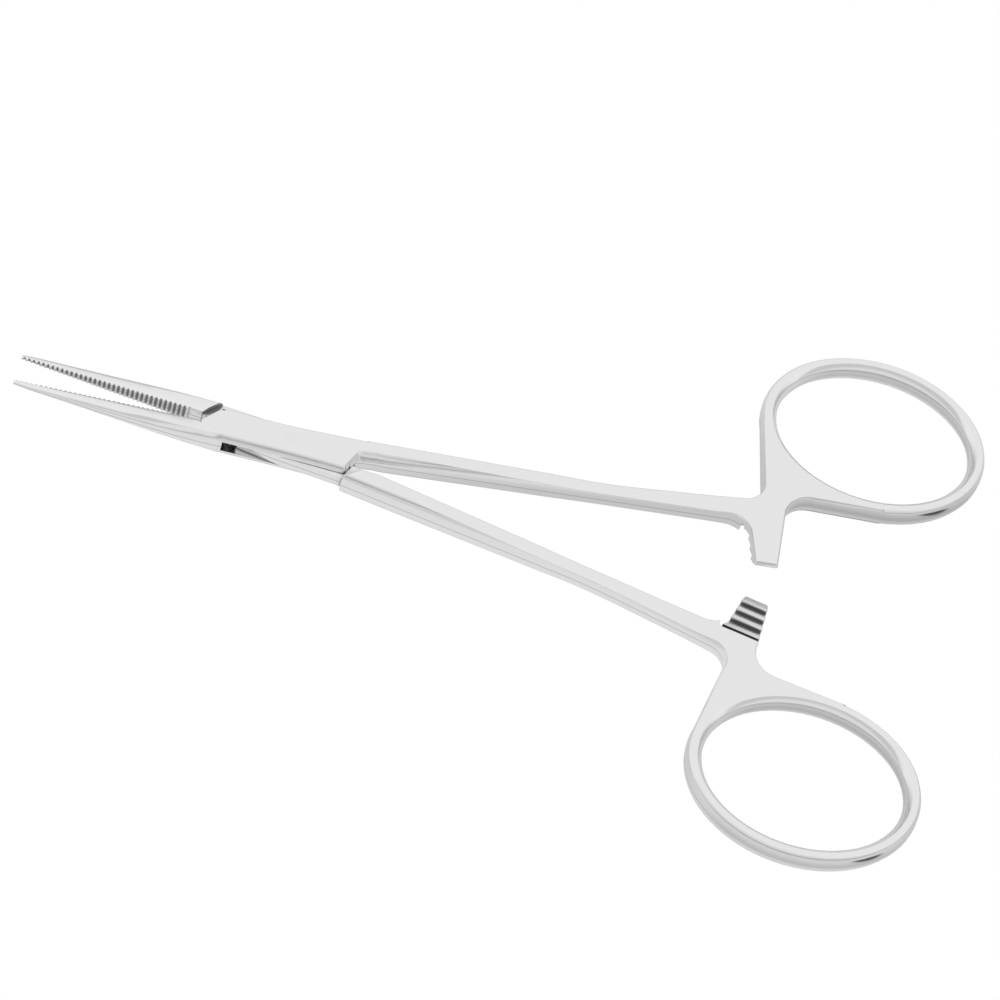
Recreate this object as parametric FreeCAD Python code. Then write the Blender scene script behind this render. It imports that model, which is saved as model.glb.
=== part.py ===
import FreeCAD
import Part

import math
import os

# Fine straight haemostatic forceps with a box lock, modelled a few degrees open,
# lying flat. Millimetres. X runs along the instrument, jaws at -X and finger rings
# at +X. Y runs across it. Z is up. The origin is the pivot axis at the underside.
# Everything is drawn about the middle plane and lifted by half the box at the end.

HALF_OPEN = 3.1          # each half turns by this from jaws closed, degrees

# box lock
BOX_THICK = 3.9          # underside of one cheek to the top of the other
BOX_HALF_WIDTH = 2.65    # at the ridge along the middle of its sides
# side shape of the box and shanks: height over the middle plane, step inwards
SIDE_SHAPE = ((0.0, 0.0), (0.8, 0.05), (1.35, 0.20), (1.95, 0.60))
SLOT_THICK = 1.80        # gap between the two cheeks
SLOT_END = 8.60          # how far the slot reaches from the pivot
WAIST_PLAY = 0.04        # clearance above and below the male waist
CHEEK_NOSE = 9.75        # jaw end of the cheeks
CHEEK_HEEL_RADIUS = 8.55  # handle end corner of the cheeks, from the pivot
HEEL_SHOULDER = 8.75     # male shoulder next to the cheek heel
NOSE_SHOULDER = 10.25    # male shoulder next to the cheek nose
PIN_RADIUS = 1.10
PIN_PLAY = 0.04          # running clearance of the male half on the pin

# jaws
JAW_ROOT = -9.0
JAW_TIP = -37.0
FACE_END = -14.2         # last serration on the box side
GROOVE_PITCH = 0.65
GROOVE_DEPTH = 0.33
MESH_GAP = 0.06          # between the two serrated faces with the jaws closed
FACE_BEVEL = 0.22        # bevel along the serrated face, share of half the thickness

# shanks, finger rings and ratchet arms, as they lie with the jaws a little open
RING_SIDE_SHAPE = ((0.0, 0.0), (0.75, 0.06), (1.25, 0.24), (1.65, 0.55))
# the hole opens out more, so that the wall is rounded towards the finger
HOLE_SIDE_SHAPE = ((0.0, 0.0), (0.6, 0.08), (1.1, 0.34), (1.65, 0.98))
RING_X = 75.7
RING_Y = 29.2
RING_LONG = 15.7         # outer half axes at the ridge
RING_SHORT = 13.1
RING_WALL = 2.2          # at the ridge
RING_THICK = 3.1
SHANK_MID_HALF = 1.18    # half thickness at the slimmest place
ARM_TIP_Y = 2.35
ARM_MID_X = 65.1
ARM_SLANT = 9.0          # lean of the ratchet teeth, degrees
TOOTH_PITCH = 1.6
TOOTH_HEIGHT = 0.55
TOOTH_COUNT = 4
TOOTH_GAP = 0.05         # from the middle plane to a tooth crest
ARM_LENGTH = 6.9         # milled length of the arm
ARM_MILLED_HALF = 3.3    # half width of the milling across the arm


def corner_points(corners, inset):
    """Corners of an anticlockwise outline moved inwards, with their radii."""
    count = len(corners)
    shifted = []
    for i in range(count):
        x0, y0 = corners[i - 1][0], corners[i - 1][1]
        x1, y1, radius = corners[i]
        x2, y2 = corners[(i + 1) % count][0], corners[(i + 1) % count][1]
        a = FreeCAD.Vector(x1 - x0, y1 - y0, 0).normalize()
        b = FreeCAD.Vector(x2 - x1, y2 - y1, 0).normalize()
        turn = a.x * b.y - a.y * b.x
        along = a.x * b.x + a.y * b.y
        normal = FreeCAD.Vector(-a.y - b.y, a.x + b.x, 0)
        reach = inset / (1.0 + along)
        point = FreeCAD.Vector(x1 + normal.x * reach, y1 + normal.y * reach, 0)
        if radius > 0:
            radius = radius - inset if turn > 0 else radius + inset
            radius = max(radius, 0.05)
        shifted.append((point, radius))
    return shifted


def outline(corners, inset=0.0, z=0.0):
    """Closed wire through the corners, each rounded by its radius."""
    points = corner_points(corners, inset)
    count = len(points)
    stops = []
    for i in range(count):
        before = points[i - 1][0]
        here, radius = points[i]
        after = points[(i + 1) % count][0]
        a = (before - here).normalize()
        b = (after - here).normalize()
        if radius <= 0:
            stops.append((here, None, here))
            continue
        half = math.acos(max(-1.0, min(1.0, a.dot(b)))) / 2
        run = radius / math.tan(half)
        middle = (a + b).normalize()
        crown = here + middle * (radius / math.sin(half) - radius)
        stops.append((here + a * run, crown, here + b * run))
    edges = []
    for i in range(count):
        start, crown, end = stops[i]
        if crown is not None:
            edges.append(Part.Arc(start, crown, end).toShape())
        follow = stops[(i + 1) % count][0]
        if end.distanceToPoint(follow) > 1e-6:
            edges.append(Part.makeLine(end, follow))
    wire = Part.Wire(edges)
    wire.translate(FreeCAD.Vector(0, 0, z))
    return wire


def stacked(levels, wire_at):
    """Solid through the wires at each (height, step) and their mirror images below."""
    low = [(-height, step) for height, step in reversed(levels[1:])]
    solids = []
    track = low + list(levels)
    for first, second in zip(track, track[1:]):
        wires = [wire_at(*first), wire_at(*second)]
        solids.append(Part.makeLoft(wires, True, True))
    return solids[0].multiFuse(solids[1:]).removeSplitter()


def drafted(corners, levels):
    """Solid widest at the middle plane, its sides curving in to the top and underside."""
    return stacked(levels, lambda z, step: outline(corners, step, z))


def prism(corners, low, high):
    face = Part.Face(outline(corners, 0.0, low))
    return face.extrude(FreeCAD.Vector(0, 0, high - low))


def ellipse_wire(long_axis, short_axis, z):
    centre = FreeCAD.Vector(RING_X, RING_Y, z)
    curve = Part.Ellipse(centre, long_axis, short_axis)
    return Part.Wire([curve.toShape()])


def ring_outside():
    return stacked(RING_SIDE_SHAPE, lambda z, step: ellipse_wire(
        RING_LONG - step, RING_SHORT - step, z))


def ring_hole():
    above, flare = HOLE_SIDE_SHAPE[-1]
    levels = HOLE_SIDE_SHAPE + ((above * 1.5, flare * 1.5),)
    return stacked(levels, lambda z, step: ellipse_wire(
        RING_LONG - RING_WALL + step, RING_SHORT - RING_WALL + step, z))


def side_profile(heights):
    """Long prism across Y whose half height follows (x, half, radius) stations."""
    upper = [(x, half, radius) for x, half, radius in heights]
    lower = [(x, -half, radius) for x, half, radius in reversed(heights)]
    wire = outline(list(reversed(upper)) + list(reversed(lower)))
    face = Part.Face(wire)
    solid = face.extrude(FreeCAD.Vector(0, 0, 200))
    solid.rotate(FreeCAD.Vector(0, 0, 0), FreeCAD.Vector(1, 0, 0), 90)
    solid.translate(FreeCAD.Vector(0, 100, 0))
    return solid


def tooth_cutter():
    """Everything below the toothed underside of the upper ratchet arm."""
    crest = TOOTH_GAP
    valley = TOOTH_GAP + TOOTH_HEIGHT
    steps = [(-3.0, -4.0), (-3.0, valley + 0.9)]
    steps.append((0.0, valley + 0.25))
    y = TOOTH_PITCH
    for _ in range(TOOTH_COUNT):
        steps.append((y - 0.12, crest))
        steps.append((y, crest))
        steps.append((y + 0.06, valley))
        y = y + TOOTH_PITCH
    steps.append((ARM_LENGTH, valley))
    steps.append((ARM_LENGTH + 1.2, -RING_THICK / 2 - 0.1))
    steps.append((ARM_LENGTH + 1.2, -4.0))
    points = [FreeCAD.Vector(0, y, z) for y, z in steps]
    face = Part.Face(Part.makePolygon(points + [points[0]]))
    cutter = face.extrude(FreeCAD.Vector(2 * ARM_MILLED_HALF, 0, 0))
    cutter.translate(FreeCAD.Vector(-ARM_MILLED_HALF, 0, 0))
    cutter.rotate(FreeCAD.Vector(0, 0, 0), FreeCAD.Vector(0, 0, 1), ARM_SLANT)
    cutter.translate(FreeCAD.Vector(ARM_MID_X, ARM_TIP_Y, 0))
    return cutter


def handle(start):
    """Shank, web, ratchet arm and finger ring of the half lying at +Y."""
    corners = start + [
        (61.35, 9.45, 3.0),
        (63.45, 1.95, 0.35),
        (66.75, 2.50, 0.45),
        (66.15, 14.75, 3.5),
        (79.5, 16.49, 0),
        (72.0, 24.0, 0),
        (60.25, 27.2, 0.5),
        (62.9, 13.0, 2.8),
        (43.0, 8.35, 90.0),
    ]
    half = BOX_THICK / 2
    body = drafted(corners, SIDE_SHAPE).fuse(ring_outside()).cut(ring_hole())
    ring_half = RING_THICK / 2
    profile = side_profile([
        (6.0, half, 0),
        (16.0, half, 60.0),
        (40.0, SHANK_MID_HALF, 60.0),
        (57.0, SHANK_MID_HALF, 20.0),
        (63.0, ring_half, 20.0),
        (96.0, ring_half, 0),
    ])
    body = body.common(profile)
    return body.cut(tooth_cutter())


def jaw_section(x, depth, half, swell):
    """Section across the jaw: bevelled flat face, and a back shaped as the box's side.

    swell stretches the steps of the box's side inwards for a rounder back."""
    face_y = 0.15
    bevel = FACE_BEVEL * half
    back = [(-depth + step * swell, height * 2 * half / BOX_THICK)
            for height, step in SIDE_SHAPE]
    upper = back + [(-2 * bevel, half), (face_y, half - bevel - face_y / 2)]
    lower = [(y, -z) for y, z in reversed(upper[1:])]
    points = [FreeCAD.Vector(x, y, z) for y, z in upper + lower]
    return Part.makePolygon(points + [points[0]])


def jaw_blank():
    """Jaw of the half whose jaw lies at -Y, before its face is cut."""
    stations = [
        (JAW_ROOT, 2.61, BOX_THICK / 2, 1.0),
        (-13.0, 2.60, 1.64, 1.15),
        (-18.0, 2.35, 1.27, 1.25),
        (-24.0, 1.83, 0.94, 1.20),
        (-30.0, 1.27, 0.61, 0.95),
        (-34.5, 0.85, 0.37, 0.65),
        (JAW_TIP, 0.50, 0.22, 0.38),
    ]
    sections = [jaw_section(*station) for station in stations]
    return Part.makeLoft(sections, True, False)


def jaw_taper(shape):
    """The shape, no thicker than the jaw is where it leaves the box."""
    half = BOX_THICK / 2
    return shape.common(side_profile([(-14.0, 1.56, 0), (JAW_ROOT, half, 0), (20.0, half, 0)]))


def face_cutter(shift, start):
    """Everything on the far side of the serrated face of the -Y jaw.

    shift moves the whole face along Y and start moves its grooves along X: half a
    pitch apart, the grooves of one jaw take the crests of the other."""
    points = [FreeCAD.Vector(JAW_TIP - 1, 6, -3)]
    count = int((FACE_END - JAW_TIP) / GROOVE_PITCH) + 1
    x = FACE_END - count * GROOVE_PITCH + start
    points.append(FreeCAD.Vector(JAW_TIP - 1, -GROOVE_DEPTH / 2 + shift, -3))
    points.append(FreeCAD.Vector(x, -GROOVE_DEPTH / 2 + shift, -3))
    for _ in range(count):
        middle = x + GROOVE_PITCH / 2
        x = x + GROOVE_PITCH
        points.append(FreeCAD.Vector(middle, GROOVE_DEPTH / 2 + shift, -3))
        points.append(FreeCAD.Vector(x, -GROOVE_DEPTH / 2 + shift, -3))
    points.append(FreeCAD.Vector(x + 0.4, shift, -3))
    points.append(FreeCAD.Vector(-12.0, shift, -3))
    points.append(FreeCAD.Vector(-12.0, 6, -3))
    face = Part.Face(Part.makePolygon(points + [points[0]]))
    return face.extrude(FreeCAD.Vector(0, 0, 6))


def turned_over(shape):
    """The other half's version: half a turn about the X axis."""
    copy = shape.copy()
    copy.rotate(FreeCAD.Vector(0, 0, 0), FreeCAD.Vector(1, 0, 0), 180)
    return copy


def turned(shape, angle):
    copy = shape.copy()
    copy.rotate(FreeCAD.Vector(0, 0, 0), FreeCAD.Vector(0, 0, 1), angle)
    return copy


def lifted(shape):
    copy = shape.copy()
    copy.translate(FreeCAD.Vector(0, 0, BOX_THICK / 2))
    return copy


def female_half():
    """Upper shank in plan, the two cheeks of the box, and the jaw at -Y."""
    box_corners = [
        (JAW_ROOT - 1.4, -2.57, 0),
        (0.0, -BOX_HALF_WIDTH, 60.0),
        (8.05, -2.95, 0.4),
        (9.55, 0.20, 0.5),
        (16.0, 1.15, 0),
        (16.2, 3.45, 0),
        (0.0, BOX_HALF_WIDTH, 60.0),
        (-CHEEK_NOSE, 2.80, 0.3),
        (-CHEEK_NOSE, 2.00, 0.2),
        (JAW_ROOT - 1.4, 1.30, 0),
    ]
    box = jaw_taper(drafted(box_corners, SIDE_SHAPE))
    nose = jaw_taper(prism([(JAW_ROOT, -1.5, 0), (JAW_ROOT, 2.0, 0), (-CHEEK_NOSE, 2.0, 0),
                            (-11.9, -0.20, 0), (-11.9, -1.5, 0)], -5, 5))
    heel_stop = Part.makeCylinder(CHEEK_HEEL_RADIUS, 10, FreeCAD.Vector(0, 0, -5))
    heel = prism([(7.0, -4.0, 0), (12.0, -4.0, 0), (12.0, -1.6, 0), (7.0, -1.6, 0)],
                 -5, 5).cut(heel_stop)
    box = box.cut(heel)
    jaw = jaw_blank().cut(face_cutter(-MESH_GAP / 2, 0))
    jaw = jaw.cut(prism([(-12.05, -0.08, 0), (0, -0.08, 0), (0, 5, 0),
                         (-12.05, 5, 0)], -5, 5))
    body = box.fuse(jaw).fuse(nose)
    slot_half = SLOT_THICK / 2
    slot = prism([
        (-SLOT_END, -6, 0), (13.5, -6, 0), (13.5, 0.03, 0), (SLOT_END, 0.03, 0.3),
        (SLOT_END, 6, 0), (-13.5, 6, 0), (-13.5, -0.03, 0), (-SLOT_END, -0.03, 0.3),
    ], -slot_half, slot_half)
    body = turned(body, HALF_OPEN)
    shank = handle([
        (9.6, 3.75, 0),
        (9.6, 1.20, 0),
        (12.0, 1.10, 12.0),
    ])
    body = body.fuse(shank).cut(turned(slot, HALF_OPEN))
    pin = Part.makeCylinder(PIN_RADIUS, 10, FreeCAD.Vector(0, 0, -5))
    return body.cut(pin)


def male_half():
    """Lower shank in plan, the waist through the box, and the jaw at +Y."""
    waist_half = SLOT_THICK / 2 - WAIST_PLAY
    shank = turned_over(handle([
        (7.2, 3.55, 0),
        (9.9, 1.15, 1.5),
        (12.5, 1.15, 4.0),
    ]))
    room = Part.makeCylinder(HEEL_SHOULDER, 10, FreeCAD.Vector(0, 0, -5))
    shank = turned(shank.cut(room), HALF_OPEN)
    jaw = jaw_blank().cut(face_cutter(-MESH_GAP / 2, GROOVE_PITCH / 2))
    jaw = turned_over(jaw)
    jaw = jaw.cut(Part.makeCylinder(NOSE_SHOULDER, 10, FreeCAD.Vector(0, 0, -5)))
    relief = prism([(-12.1, -1, 0), (-9.0, -1, 0), (-9.0, 3.2, 0), (-9.3, 3.2, 0),
                    (-12.1, 0, 0)], -5, 5)
    jaw = jaw.cut(relief)
    waist = prism([
        (-12.0, 0.08, 0), (0.1 - SLOT_END, 0.08, 0), (-6.4, -2.2, 1.0), (-1.8, -2.6, 20.0),
        (7.5, -2.75, 0), (12.6, -3.2, 0), (12.6, -0.75, 0), (SLOT_END - 0.1, -0.08, 0),
        (6.4, 2.2, 1.0), (1.8, 2.6, 20.0), (-12.0, 2.45, 0),
    ], -waist_half, waist_half)
    body = waist.fuse(jaw).fuse(shank)
    bore = Part.makeCylinder(PIN_RADIUS + PIN_PLAY, 10, FreeCAD.Vector(0, 0, -5))
    return turned(body.cut(bore), -HALF_OPEN)


def pivot_pin():
    low = FreeCAD.Vector(0, 0, -BOX_THICK / 2)
    return Part.makeCylinder(PIN_RADIUS, BOX_THICK, low)


os.makedirs("parts", exist_ok=True)
pieces = {
    "female_half": female_half(),
    "male_half": male_half(),
    "pivot_pin": pivot_pin(),
}
for name, shape in pieces.items():
    shape = lifted(shape).removeSplitter()
    print(name, "valid", shape.isValid(), "solids", len(shape.Solids),
          "volume", round(shape.Volume, 2), "faces", len(shape.Faces))
    shape.exportStep("parts/" + name + ".step")
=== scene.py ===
"""Looks of the straight haemostatic forceps: polished steel on a plain white table."""

import math

import bpy
from mathutils import Matrix, Vector

MM = 0.001

# the photograph's camera: angles in degrees, lengths in millimetres
CAMERA_AZIMUTH = -2.96
CAMERA_ELEVATION = 51.28
CAMERA_ROLL = 18.40
CAMERA_DISTANCE = 700.0
PIVOT_IN_PICTURE = (-27.63, 7.96)   # from the picture's middle, to the right and up
AIM_HEIGHT = 3.65                   # the camera was fitted to a plane at this height
FOCAL_PIXELS = 5320.0               # for a picture PICTURE_PIXELS wide
PICTURE_PIXELS = 1000
SENSOR_WIDTH = 36
CLIP_METRES = (0.01, 20)

# brightness of the studio over the turn from the far horizon (0) over the top to the
# near horizon (1)
SKY_BANDS = ((0.0, 0.35), (0.10, 0.72), (0.24, 0.88), (0.50, 0.92), (0.63, 0.88),
             (0.70, 0.62), (0.78, 0.62), (0.84, 0.84), (0.93, 0.80), (0.975, 0.36),
             (1.0, 0.60))

# lengths from here on are in metres, as in the frame

# the table, and its brightness as the steel reflects it, over the way along Y from
# TABLE_NEAR to TABLE_FAR
TABLE_SIZE = 6
TABLE_PLACE = (0.03, 0, -0.00002)   # a hair under the instrument
TABLE_NEAR = -0.045
TABLE_FAR = 0.045
TABLE_BANDS = ((0.0, 0.74), (0.20, 0.66), (0.29, 0.66), (0.35, 0.80), (0.46, 0.80),
               (0.54, 0.62), (0.72, 0.60), (0.92, 0.72))
# dark places on the table that only the rings' ends reflect
DARK_SPOTS = ((0.0915, 0.0165), (0.0915, -0.0420))
SPOT_REACH = 0.0045
SPOT_GLOW = 0.12                    # share of the brightness left in the middle

# steel
FORGING_TONE = 0.88
PIN_TONE = 0.87
POLISH_LOW = 0.11                   # roughness where the polish is best
POLISH_HIGH = 0.19
POLISH_CLOUDS = 320.0               # clouds in the polish for each metre
GRINDING_MARKS = (900, 9000, 9000)  # marks for each metre along X, Y and Z
MARK_STRENGTH = 0.10
MARK_DEPTH = 0.00002
EDGE_SOFTNESS = 0.00015
PIN_REACH = 0.00425                 # edges nearer the origin than this stay unsoftened
CRISP_ANGLE = math.radians(33)      # edges that turn by more than this stay crisp
SAME_CORNER = 0.000002              # corners nearer than this are one

# painted dark line along the middle plane of the sides, standing in for the dark reflection
# at their ridge
LINE_HEIGHT = 0.00195
LINE_HALF = 0.00007
PAINTED_LINE_TONE = 0.62                    # share of the steel's tone
RINGS_FROM = 0.062                  # the painted dark line ends here and the rings' shading starts
RINGS_BLEND = 0.006

# shading of the rings' walls
RING_TONE = 0.50                    # share of the steel's tone
RING_EDGE = 0.00075                 # height of the shaded lower edge
RING_EDGE_BLEND = 0.0002
RING_SHADE_LOW = 0.0012
RING_SHADE_HIGH = 0.0031

# painted shade in the grooves, in the gaps and in the open pocket between the male jaw and
# the box
CREASE_REACH = 0.0012
CREASE_SHADE_TONE = (0.17, 0.165, 0.16)
GROOVE_LIGHT = (0.42, 0.97)         # share of open sky: fully dark, fully bright
GAP_LIGHT = (0.26, 0.78)
LIGHT_SAMPLES = 8
POCKET = (-0.0108, 0.0017)
POCKET_REACH = 0.0024
POCKET_SHADE = 0.85


def write_size():
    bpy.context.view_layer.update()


def camera():
    """Camera at the photograph's viewing angle."""
    azimuth = math.radians(CAMERA_AZIMUTH)
    elevation = math.radians(CAMERA_ELEVATION)
    roll = math.radians(CAMERA_ROLL)
    back = Vector((math.sin(azimuth) * math.cos(elevation),
                   -math.cos(azimuth) * math.cos(elevation), math.sin(elevation)))
    level = Vector((math.cos(azimuth), math.sin(azimuth), 0))
    rise = back.cross(level)
    right = level * math.cos(roll) + rise * math.sin(roll)
    up = rise * math.cos(roll) - level * math.sin(roll)
    place = (back * CAMERA_DISTANCE - right * PIVOT_IN_PICTURE[0]
             - up * PIVOT_IN_PICTURE[1] + Vector((0, 0, AIM_HEIGHT))) * MM
    data = bpy.data.cameras.new("camera")
    data.sensor_width = SENSOR_WIDTH
    data.lens = FOCAL_PIXELS * SENSOR_WIDTH / PICTURE_PIXELS
    data.clip_start, data.clip_end = CLIP_METRES
    obj = bpy.data.objects.new("camera", data)
    obj.matrix_world = Matrix((
        (right.x, up.x, back.x, place.x),
        (right.y, up.y, back.y, place.y),
        (right.z, up.z, back.z, place.z),
        (0, 0, 0, 1)))
    bpy.context.scene.collection.objects.link(obj)
    bpy.context.scene.camera = obj


def feed(tree, value, socket):
    """Link an input to another node's output, or set it to a plain value."""
    if isinstance(value, bpy.types.NodeSocket):
        tree.links.new(value, socket)
    else:
        socket.default_value = value


def arithmetic(tree, operation, first, second=0.0):
    """One step of arithmetic on two values."""
    step = tree.nodes.new("ShaderNodeMath")
    step.operation = operation
    feed(tree, first, step.inputs[0])
    feed(tree, second, step.inputs[1])
    return step.outputs["Value"]


def product(tree, *factors):
    """Values multiplied together."""
    total = factors[0]
    for factor in factors[1:]:
        total = arithmetic(tree, "MULTIPLY", total, factor)
    return total


def larger(tree, *values):
    """The largest of several values."""
    top = values[0]
    for value in values[1:]:
        top = arithmetic(tree, "MAXIMUM", top, value)
    return top


def step_between(tree, value, low, high, at_low, at_high, kind="SMOOTHSTEP"):
    """A value that passes from at_low to at_high while another goes from low to high."""
    step = tree.nodes.new("ShaderNodeMapRange")
    step.interpolation_type = kind
    feed(tree, value, step.inputs["Value"])
    feed(tree, low, step.inputs["From Min"])
    feed(tree, high, step.inputs["From Max"])
    feed(tree, at_low, step.inputs["To Min"])
    feed(tree, at_high, step.inputs["To Max"])
    return step.outputs["Result"]


def vector_size(tree, operation, first, second=(0, 0, 0)):
    """Length of a vector, or its distance from a place."""
    measure = tree.nodes.new("ShaderNodeVectorMath")
    measure.operation = operation
    feed(tree, first, measure.inputs[0])
    feed(tree, second, measure.inputs[1])
    return measure.outputs["Value"]


def parts_of(tree, vector):
    """X, Y and Z of a vector, by name."""
    split = tree.nodes.new("ShaderNodeSeparateXYZ")
    feed(tree, vector, split.inputs["Vector"])
    return split.outputs


def noise(tree, place, scale, detail):
    """Soft noise over a place."""
    cloud = tree.nodes.new("ShaderNodeTexNoise")
    feed(tree, place, cloud.inputs["Vector"])
    feed(tree, scale, cloud.inputs["Scale"])
    feed(tree, detail, cloud.inputs["Detail"])
    return cloud.outputs["Fac"]


def mixed(tree, mask, under, over, kind="RGBA"):
    """One colour or vector, and another over it where the mask is 1."""
    mix = tree.nodes.new("ShaderNodeMix")
    mix.data_type = kind
    feed(tree, mask, mix.inputs["Factor"])
    feed(tree, under, mix.inputs["A"])
    feed(tree, over, mix.inputs["B"])
    return mix.outputs["Result"]


def brightness_ramp(tree, share, bands):
    """Brightness along a share from 0 to 1, by (place, brightness) bands."""
    node = tree.nodes.new("ShaderNodeValToRGB")
    ramp = node.color_ramp
    ramp.interpolation = "EASE"
    while len(ramp.elements) > 1:
        ramp.elements.remove(ramp.elements[-1])
    first, glow = bands[0]
    ramp.elements[0].position = first
    ramp.elements[0].color = (glow, glow, glow, 1)
    for spot, glow in bands[1:]:
        ramp.elements.new(spot).color = (glow, glow, glow, 1)
    feed(tree, share, node.inputs["Fac"])
    return node.outputs["Color"]


def effect_group(name, inputs, outputs):
    """Empty shared effect with named number inputs and typed outputs, and its two ends."""
    tree = bpy.data.node_groups.new(name, "ShaderNodeTree")
    for label in inputs:
        tree.interface.new_socket(label, in_out="INPUT", socket_type="NodeSocketFloat")
    for label, kind in outputs.items():
        tree.interface.new_socket(label, in_out="OUTPUT", socket_type=kind)
    given = tree.nodes.new("NodeGroupInput")
    result = tree.nodes.new("NodeGroupOutput")
    return tree, given.outputs, result.inputs


def surface_finish():
    """Shared effect: uneven polish, fine grinding marks and softened edges."""
    tree, given, result = effect_group(
        "surface_finish",
        ("Roughness low", "Roughness high", "Edge softness", "Sharp reach"),
        {"Roughness": "NodeSocketFloat", "Normal": "NodeSocketVector"})
    place = tree.nodes.new("ShaderNodeTexCoord").outputs["Object"]
    clouds = noise(tree, place, POLISH_CLOUDS, 2.0)
    polish = step_between(tree, clouds, 0.3, 0.7, given["Roughness low"],
                          given["Roughness high"], "LINEAR")
    feed(tree, polish, result["Roughness"])
    stretch = tree.nodes.new("ShaderNodeMapping")
    stretch.inputs["Scale"].default_value = GRINDING_MARKS
    feed(tree, place, stretch.inputs["Vector"])
    soft = tree.nodes.new("ShaderNodeBevel")
    soft.samples = 6
    feed(tree, given["Edge softness"], soft.inputs["Radius"])
    plain = tree.nodes.new("ShaderNodeNewGeometry").outputs["Normal"]
    from_origin = vector_size(tree, "LENGTH", place)
    outside = arithmetic(tree, "GREATER_THAN", from_origin, given["Sharp reach"])
    normal = mixed(tree, outside, plain, soft.outputs["Normal"], "VECTOR")
    bump = tree.nodes.new("ShaderNodeBump")
    bump.inputs["Strength"].default_value = MARK_STRENGTH
    bump.inputs["Distance"].default_value = MARK_DEPTH
    feed(tree, noise(tree, stretch.outputs["Vector"], 1.0, 3.0), bump.inputs["Height"])
    feed(tree, normal, bump.inputs["Normal"])
    feed(tree, bump.outputs["Normal"], result["Normal"])
    return tree


def painted_ridge_line():
    """Shared effect: mask of the painted dark reflection line along the middle of the
    shanks' sides.
    """
    tree, given, result = effect_group("painted_ridge_line", ("Height", "Half width"),
                                       {"Mask": "NodeSocketFloat"})
    place = parts_of(tree, tree.nodes.new("ShaderNodeTexCoord").outputs["Object"])
    offset = arithmetic(tree, "SUBTRACT", place["Z"], given["Height"])
    away = arithmetic(tree, "ABSOLUTE", offset)
    painted_line = step_between(tree, away, product(tree, given["Half width"], 0.4),
                        product(tree, given["Half width"], 1.6), 1.0, 0.0)
    before_rings = step_between(tree, place["X"], RINGS_FROM, RINGS_FROM + RINGS_BLEND,
                                1.0, 0.0)
    feed(tree, product(tree, painted_line, before_rings), result["Mask"])
    return tree


def shut_in(tree, reach, light, own_piece_only):
    """Mask of places that see little open space within the reach."""
    around = tree.nodes.new("ShaderNodeAmbientOcclusion")
    around.samples = LIGHT_SAMPLES
    around.only_local = own_piece_only
    feed(tree, reach, around.inputs["Distance"])
    return step_between(tree, around.outputs["AO"], *light, 1.0, 0.0)


def pocket_shade_mask(tree):
    """Mask of painted shade on the upright faces round the pocket at the root of the male
    jaw.
    """
    seen = tree.nodes.new("ShaderNodeTexCoord")
    flat = tree.nodes.new("ShaderNodeVectorMath")
    flat.operation = "MULTIPLY"
    feed(tree, seen.outputs["Object"], flat.inputs[0])
    feed(tree, (1, 1, 0), flat.inputs[1])
    gap = vector_size(tree, "DISTANCE", flat.outputs["Vector"], (*POCKET, 0))
    near = step_between(tree, gap, POCKET_REACH * 0.6, POCKET_REACH, POCKET_SHADE, 0.0)
    facing = parts_of(tree, seen.outputs["Normal"])
    across = step_between(tree, facing["X"], 0.25, 0.45, 0.0, 1.0)
    upright = step_between(tree, facing["Z"], 0.3, 0.6, 1.0, 0.0)
    return product(tree, near, across, upright)


def crease_shade():
    """Shared effect: mask of painted shade in grooves, in gaps between the pieces and in the
    pocket.
    """
    tree, given, result = effect_group("crease_shade", ("Reach",), {"Mask": "NodeSocketFloat"})
    grooves = shut_in(tree, given["Reach"], GROOVE_LIGHT, True)
    gaps = shut_in(tree, given["Reach"], GAP_LIGHT, False)
    feed(tree, larger(tree, grooves, pocket_shade_mask(tree), gaps), result["Mask"])
    return tree


def ring_shade():
    """Shared effect: mask of the lower edge and the middle of the finger rings' walls."""
    tree, given, result = effect_group("ring_shade", ("Edge height", "Middle height"),
                                       {"Mask": "NodeSocketFloat"})
    seen = tree.nodes.new("ShaderNodeTexCoord")
    place = parts_of(tree, seen.outputs["Object"])
    facing = parts_of(tree, seen.outputs["Normal"])
    upright = step_between(tree, facing["Z"], 0.5, 0.75, 1.0, 0.0)
    on_ring = step_between(tree, place["X"], RINGS_FROM, RINGS_FROM + RINGS_BLEND,
                           0.0, 1.0)
    edge_top = arithmetic(tree, "ADD", given["Edge height"], RING_EDGE_BLEND)
    edge = step_between(tree, place["Z"], given["Edge height"], edge_top, 1.0, 0.0)
    below = step_between(tree, place["Z"], RING_SHADE_LOW, given["Middle height"],
                         0.0, 0.5)
    above = step_between(tree, place["Z"], given["Middle height"], RING_SHADE_HIGH,
                         1.0, 0.15)
    band = product(tree, below, above)
    feed(tree, product(tree, larger(tree, edge, band), upright, on_ring), result["Mask"])
    return tree


def placed(tree, effect, **values):
    """A shared effect placed in a material with that material's own values."""
    node = tree.nodes.new("ShaderNodeGroup")
    node.node_tree = effect
    for label, value in values.items():
        node.inputs[label.replace("_", " ").capitalize()].default_value = value
    return node.outputs


def grey(tone):
    """Opaque neutral colour."""
    return (tone, tone, tone, 1)


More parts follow.
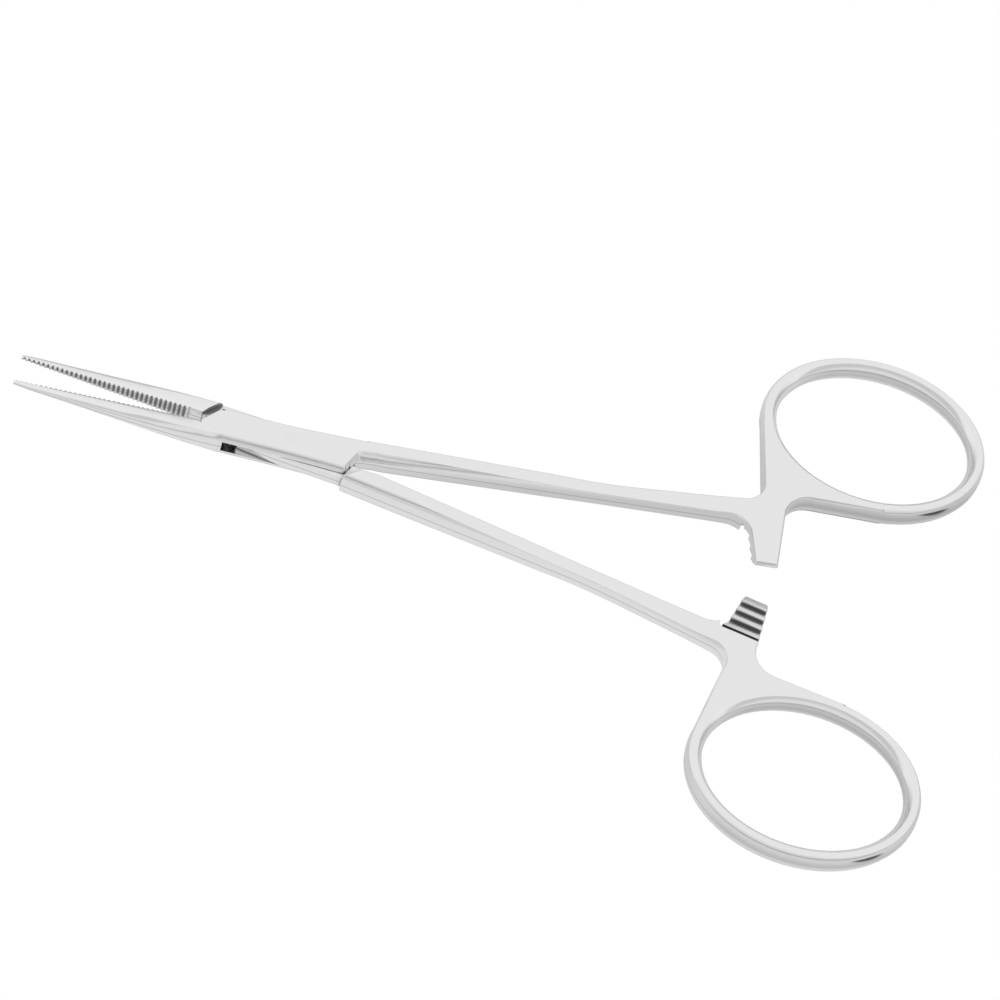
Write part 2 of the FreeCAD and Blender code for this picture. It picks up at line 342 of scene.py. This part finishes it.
def steel(name, effects, tone):
    """Bright polished stainless steel."""
    material = bpy.data.materials.new(name)
    material.use_nodes = True
    tree = material.node_tree
    shader = tree.nodes["Principled BSDF"]
    shader.inputs["Metallic"].default_value = 1.0
    finish = placed(tree, effects["finish"], roughness_low=POLISH_LOW,
                    roughness_high=POLISH_HIGH, edge_softness=EDGE_SOFTNESS,
                    sharp_reach=PIN_REACH)
    painted_line = placed(tree, effects["painted_line"], height=LINE_HEIGHT, half_width=LINE_HALF)
    shade = placed(tree, effects["ring_shade"], edge_height=RING_EDGE,
                   middle_height=LINE_HEIGHT)
    painted_crease_shade = placed(tree, effects["crease_shade"], reach=CREASE_REACH)
    # painted dark reflection line along the middle of the sides
    with_painted_line = mixed(tree, painted_line["Mask"], grey(tone), grey(PAINTED_LINE_TONE * tone))
    shaded = mixed(tree, shade["Mask"], with_painted_line, grey(RING_TONE * tone))
    # painted shade in the grooves, the gaps between the pieces and the pocket
    with_crease_shade = mixed(tree, painted_crease_shade["Mask"], shaded, (*CREASE_SHADE_TONE, 1))
    feed(tree, with_crease_shade, shader.inputs["Base Color"])
    feed(tree, finish["Roughness"], shader.inputs["Roughness"])
    feed(tree, finish["Normal"], shader.inputs["Normal"])
    return material


def soft_shading():
    """Geometry nodes: join split corners, shade smooth, keep real edges crisp."""
    tree = bpy.data.node_groups.new("soft_shading", "GeometryNodeTree")
    for way in ("INPUT", "OUTPUT"):
        tree.interface.new_socket("Geometry", in_out=way, socket_type="NodeSocketGeometry")
    start = tree.nodes.new("NodeGroupInput")
    result = tree.nodes.new("NodeGroupOutput")
    join = tree.nodes.new("GeometryNodeMergeByDistance")
    join.inputs["Distance"].default_value = SAME_CORNER
    smooth = tree.nodes.new("GeometryNodeSetShadeSmooth")
    smooth.domain = "FACE"
    bend = tree.nodes.new("GeometryNodeInputMeshEdgeAngle")
    crisp = tree.nodes.new("FunctionNodeCompare")
    crisp.data_type = "FLOAT"
    crisp.operation = "GREATER_THAN"
    crisp.inputs["B"].default_value = CRISP_ANGLE
    keep = tree.nodes.new("GeometryNodeSetShadeSmooth")
    keep.domain = "EDGE"
    keep.inputs["Shade Smooth"].default_value = False
    feed(tree, start.outputs["Geometry"], join.inputs["Geometry"])
    feed(tree, join.outputs["Geometry"], smooth.inputs["Geometry"])
    feed(tree, bend.outputs["Unsigned Angle"], crisp.inputs["A"])
    feed(tree, smooth.outputs["Geometry"], keep.inputs["Geometry"])
    feed(tree, crisp.outputs["Result"], keep.inputs["Selection"])
    feed(tree, keep.outputs["Geometry"], result.inputs["Geometry"])
    return tree


def table_glow(tree):
    """Brightness of the table in reflections, by the place on it."""
    place = tree.nodes.new("ShaderNodeNewGeometry").outputs["Position"]
    share = step_between(tree, parts_of(tree, place)["Y"], TABLE_NEAR, TABLE_FAR,
                         0.0, 1.0, "LINEAR")
    glow = brightness_ramp(tree, share, TABLE_BANDS)
    for x, y in DARK_SPOTS:
        gap = vector_size(tree, "DISTANCE", place, (x, y, 0))
        glow = product(tree, glow, step_between(tree, gap, SPOT_REACH * 0.5, SPOT_REACH,
                                                SPOT_GLOW, 1.0))
    return glow


def table():
    """Table: plain white to the camera, bands of grey in reflections."""
    bpy.ops.mesh.primitive_plane_add(size=TABLE_SIZE, location=TABLE_PLACE)
    floor = bpy.context.object
    floor.name = "floor"
    paint = bpy.data.materials.new("floor_white")
    paint.use_nodes = True
    tree = paint.node_tree
    tree.nodes.clear()
    seen = tree.nodes.new("ShaderNodeEmission")
    seen.inputs["Color"].default_value = grey(1)
    reflected = tree.nodes.new("ShaderNodeEmission")
    reflected.inputs["Color"].default_value = grey(1)
    feed(tree, table_glow(tree), reflected.inputs["Strength"])
    pick = tree.nodes.new("ShaderNodeMixShader")
    ray = tree.nodes.new("ShaderNodeLightPath")
    feed(tree, ray.outputs["Is Camera Ray"], pick.inputs["Fac"])
    feed(tree, reflected.outputs["Emission"], pick.inputs[1])
    feed(tree, seen.outputs["Emission"], pick.inputs[2])
    surface = tree.nodes.new("ShaderNodeOutputMaterial")
    feed(tree, pick.outputs["Shader"], surface.inputs["Surface"])
    floor.data.materials.append(paint)


def studio():
    """Studio round the instrument: bright overhead, with darker bands towards the camera."""
    world = bpy.data.worlds.new("world")
    bpy.context.scene.world = world
    world.use_nodes = True
    tree = world.node_tree
    way = parts_of(tree, tree.nodes.new("ShaderNodeTexCoord").outputs["Generated"])
    turn = arithmetic(tree, "ARCTAN2", way["Z"], way["Y"])
    share = step_between(tree, turn, 0.0, math.pi, 0.0, 1.0, "LINEAR")
    feed(tree, brightness_ramp(tree, share, SKY_BANDS),
         tree.nodes["Background"].inputs["Color"])


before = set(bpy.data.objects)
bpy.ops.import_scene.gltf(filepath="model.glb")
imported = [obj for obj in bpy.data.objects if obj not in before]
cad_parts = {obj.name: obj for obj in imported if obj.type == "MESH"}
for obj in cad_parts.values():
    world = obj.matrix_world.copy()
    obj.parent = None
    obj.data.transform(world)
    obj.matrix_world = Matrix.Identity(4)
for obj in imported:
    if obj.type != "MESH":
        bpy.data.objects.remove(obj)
write_size()
effects = {"finish": surface_finish(), "painted_line": painted_ridge_line(), "crease_shade": crease_shade(),
           "ring_shade": ring_shade()}
finishes = {
    "female_half": steel("female_steel", effects, FORGING_TONE),
    "male_half": steel("male_steel", effects, FORGING_TONE),
    "pivot_pin": steel("pin_steel", effects, PIN_TONE),
}
shading = soft_shading()
for name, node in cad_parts.items():
    node.data.materials.clear()
    node.data.materials.append(finishes[name])
    node.modifiers.new("soft_shading", "NODES").node_group = shading
camera()
table()
studio()
bpy.context.scene.view_settings.view_transform = "Standard"
write_size()
